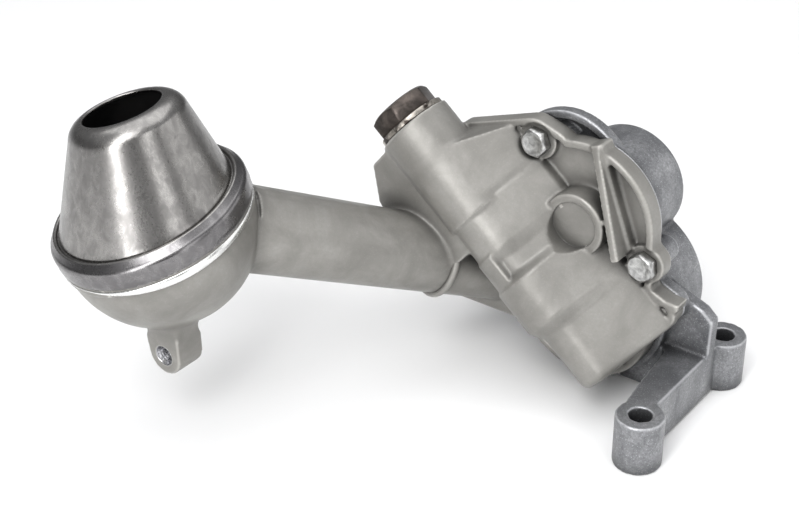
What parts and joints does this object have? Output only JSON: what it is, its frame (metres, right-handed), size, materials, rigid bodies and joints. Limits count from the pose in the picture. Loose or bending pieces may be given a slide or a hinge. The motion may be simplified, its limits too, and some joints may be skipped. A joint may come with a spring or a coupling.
{
  "type": "engine oil pump",
  "caption": "Cast aluminium oil pump with meshing spur gears, a pressure relief valve and a pickup pipe that ends in a pressed steel strainer bell.",
  "frame": {"origin": "midway between the two foot bolt holes, on the mounting face", "axes": "+Z away from the mounting face along the foot bolts, +Y along the drive shaft from the cover towards the sprocket end, +X from the pickup towards the feet"},
  "size_m": [0.2144, 0.2072, 0.1394],
  "materials": {
    "cast_cover": "as-cast, matte",
    "cast_casing": "die-cast, rough matte",
    "pressed_steel": "drawn sheet steel, satin",
    "zinc": "zinc plated",
    "plug_steel": "phosphated, dark",
    "seal_washer": "soft washer, machined",
    "ground_steel": "ground and hardened",
    "bronze": "sintered bronze",
    "screen_mesh": "perforated sheet"
  },
  "bodies": {
    "housing": {"pump_casing": "cast_casing", "pump_cover": "cast_cover", "casing_bush": "bronze", "cover_bush": "bronze", "idler_pin": "ground_steel", "relief_plug": "plug_steel", "relief_plug_seal": "seal_washer", "relief_guide_pin": "ground_steel", "relief_spring": "ground_steel", "strainer_bell": "pressed_steel", "strainer_screen": "screen_mesh", "screen_ring": "pressed_steel", "outlet_sleeve": "ground_steel", "cover_bolts": "zinc", "dowel_pins": "ground_steel"},
    "drive": {"drive_shaft": "ground_steel", "drive_key": "ground_steel", "drive_gear": "ground_steel"},
    "idler": {"driven_gear": "ground_steel", "driven_gear_bush": "bronze"},
    "relief": {"relief_piston": "ground_steel"}
  },
  "joints": [
    {"name": "drive_spin", "type": "hinge", "parent": "housing", "child": "drive", "pos_m": [-0.05, 0.02, 0.074], "axis": [0, 1, 0], "continuous": true},
    {"name": "idler_spin", "type": "hinge", "parent": "housing", "child": "idler", "pos_m": [-0.07121, 0.02, 0.04872], "axis": [0, 1, 0], "continuous": true},
    {"name": "relief_slide", "type": "slide", "parent": "housing", "child": "relief", "axis": [-0.766, 0, 0.6428], "range_m": [0, 0.009], "stiffness_N_per_m": 600, "springref_m": -0.01, "deforming": ["relief_spring"]}
  ],
  "couplings": [
    {"joint": "idler_spin", "follows": "drive_spin", "ratio": -1}
  ]
}
